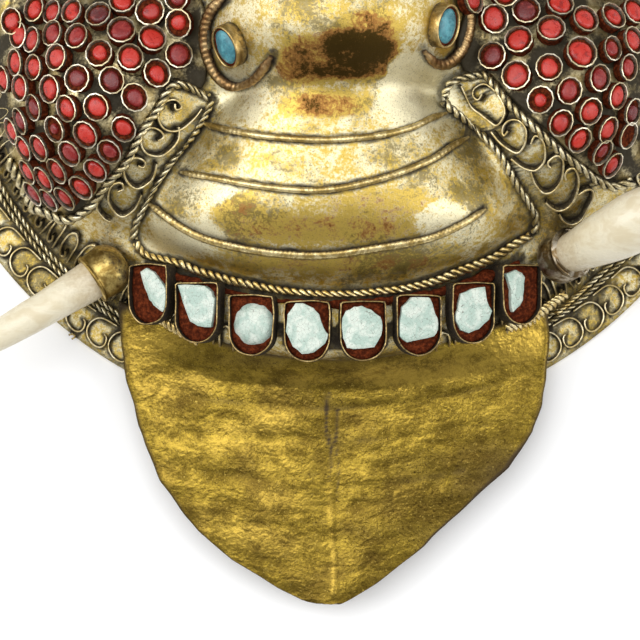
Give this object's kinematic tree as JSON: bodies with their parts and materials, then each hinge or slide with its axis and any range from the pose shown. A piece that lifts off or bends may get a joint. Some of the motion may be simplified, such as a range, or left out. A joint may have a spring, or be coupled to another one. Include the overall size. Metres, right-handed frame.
{
  "type": "ceremonial dance mask",
  "caption": "Round gilt metal mask of a wrathful face with coral-studded cheeks, stone teeth, tusks and a long leaf-shaped tongue, open and hollow behind.",
  "frame": {"origin": "middle of the part's box, on the surface that the rim rests on", "axes": "+Z out of the face, +Y towards the forehead, +X to the right of someone who looks at the face"},
  "size_m": [0.302, 0.365, 0.0814],
  "materials": {
    "gilt_copper": "worn gilding, satin",
    "silvered_copper": "worn silvering with dark grime",
    "worn_brass": "hammered and tarnished",
    "coral": "polished coral in dark lac",
    "bone": "polished old bone",
    "pale_stone": "polished stone",
    "turquoise": "polished turquoise",
    "jet": "polished"
  },
  "bodies": {
    "root": {"mask_shell": "gilt_copper", "coral_cheek_left": "coral", "coral_cheek_right": "coral", "rim_rope": "gilt_copper", "cheek_rope_left": "silvered_copper", "cheek_rope_right": "silvered_copper", "muzzle_rope_left": "silvered_copper", "muzzle_rope_right": "silvered_copper", "lip_rope": "gilt_copper", "muzzle_rib_1": "gilt_copper", "muzzle_rib_2": "gilt_copper", "muzzle_rib_3": "gilt_copper", "tooth_cup_1": "worn_brass", "tooth_cup_2": "worn_brass", "tooth_cup_3": "worn_brass", "tooth_cup_4": "worn_brass", "tooth_cup_5": "worn_brass", "tooth_cup_6": "worn_brass", "tooth_cup_7": "worn_brass", "tooth_cup_8": "worn_brass", "tooth_1": "pale_stone", "tooth_2": "pale_stone", "tooth_3": "pale_stone", "tooth_4": "pale_stone", "tooth_5": "pale_stone", "tooth_6": "pale_stone", "tooth_7": "pale_stone", "tooth_8": "pale_stone", "tusk_left": "bone", "tusk_right": "bone", "tusk_socket_left": "worn_brass", "tusk_socket_right": "worn_brass", "tongue": "worn_brass", "nostril_bezel_left": "worn_brass", "nostril_bezel_right": "worn_brass", "nostril_stone_left": "turquoise", "nostril_stone_right": "turquoise", "nostril_wire_left": "gilt_copper", "nostril_wire_right": "gilt_copper", "third_eye_bezel": "worn_brass", "third_eye": "turquoise", "eye_left": "pale_stone", "eye_right": "pale_stone", "pupil_left": "jet", "pupil_right": "jet"}
  },
  "joints": []
}
